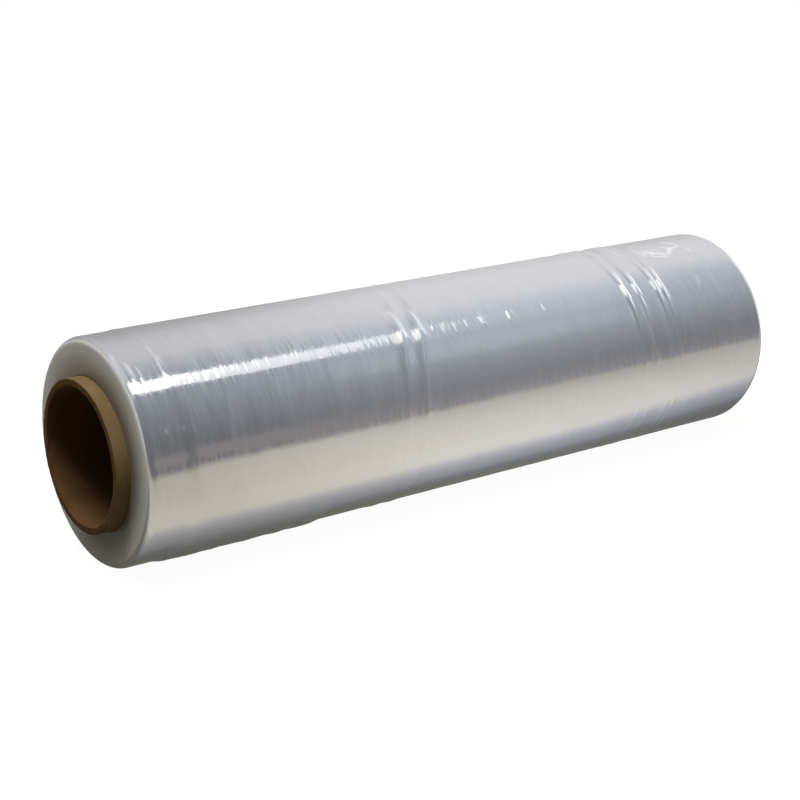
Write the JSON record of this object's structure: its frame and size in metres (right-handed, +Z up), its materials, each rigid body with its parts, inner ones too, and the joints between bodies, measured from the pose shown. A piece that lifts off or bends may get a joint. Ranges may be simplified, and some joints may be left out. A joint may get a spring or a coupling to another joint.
{
  "type": "stretch wrap roll",
  "caption": "Roll of clear stretch film wound on a spiral-wound card tube, lying on its side on a small flat spot, with the tube standing proud at both ends.",
  "frame": {"origin": "on the floor, under the middle of the roll's length", "axes": "+X along the roll's axis towards the far end, +Z up, -Y is the front side with the loose end of the film"},
  "size_m": [0.466, 0.127, 0.126],
  "materials": {
    "core_card": "matt brown card with a spiral seam",
    "clear_film": "glossy layered clear film, silvery grey on the outside and milky at the ends"
  },
  "bodies": {
    "root": {"core_tube": "core_card", "film_roll": "clear_film"}
  },
  "joints": []
}
